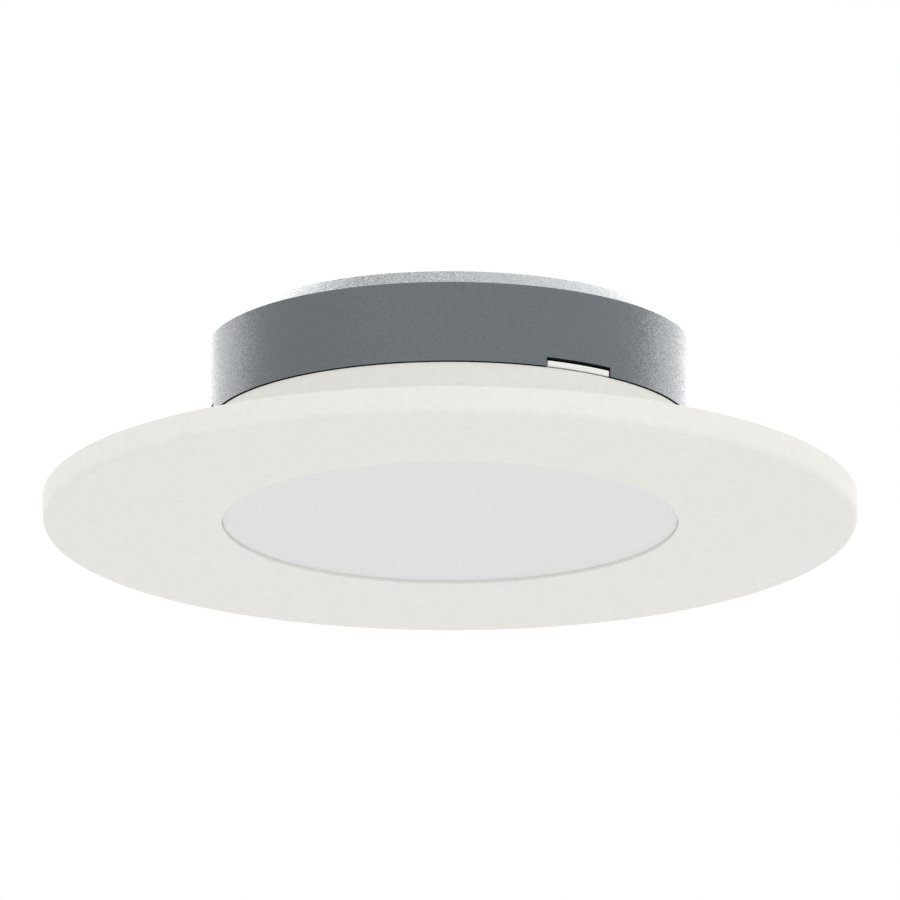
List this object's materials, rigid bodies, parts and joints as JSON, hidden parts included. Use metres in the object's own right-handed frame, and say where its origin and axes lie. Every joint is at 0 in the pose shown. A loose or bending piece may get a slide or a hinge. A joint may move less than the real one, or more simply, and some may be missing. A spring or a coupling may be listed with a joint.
{
  "type": "ceiling puck light",
  "caption": "Low round puck light: grey metal housing and a wide white push-on trim with a flush frosted lens.",
  "frame": {"origin": "centre of the housing's flat back, which lies against the ceiling", "axes": "+Z points at the ceiling along the light's axis, away from the lens; +X runs through the two mounting screw holes"},
  "size_m": [0.108, 0.108, 0.0264],
  "materials": {
    "painted_metal": "fine textured metallic grey paint",
    "white_plastic": "matt moulded white",
    "lens_plastic": "frosted, finely grained",
    "black_rubber": "matt",
    "foam": "light grey closed-cell foam",
    "zinc_steel": "zinc plated",
    "aluminium_plate": "white solder mask on metal",
    "circuit_board": "green solder mask",
    "black_epoxy": "moulded epoxy",
    "terminal_plastic": "moulded",
    "brass": "plated",
    "ferrite": "sintered",
    "copper_wire": "enamelled",
    "thermal_silicone": "soft pad",
    "phosphor": "cast silicone"
  },
  "bodies": {
    "housing": {"housing": "painted_metal", "cable_grommet": "black_rubber", "driver_board": "circuit_board", "driver_board_screws": "zinc_steel", "terminal_block": "terminal_plastic", "terminal_screws": "zinc_steel", "terminal_cages": "brass", "fuse": "zinc_steel", "rectifier": "black_epoxy", "driver_chip": "black_epoxy", "chip_leads": "zinc_steel", "inductor_core": "ferrite", "inductor_winding": "copper_wire", "capacitors": "zinc_steel", "resistors": "black_epoxy", "link_socket": "black_epoxy", "link_pins": "brass", "thermal_pad": "thermal_silicone", "lamp_plate": "aluminium_plate", "lamp_packages": "white_plastic", "lamp_phosphors": "phosphor", "lamp_plate_screws": "zinc_steel"},
    "trim": {"trim_ring": "white_plastic", "lens": "lens_plastic", "lens_gasket": "black_rubber", "reflector": "white_plastic", "o_ring": "black_rubber", "friction_clips": "zinc_steel", "soffit_gasket": "foam"}
  },
  "joints": [
    {"name": "trim_pull", "type": "slide", "parent": "housing", "child": "trim", "axis": [0, 0, -1], "range_m": [0, 0.025]}
  ]
}
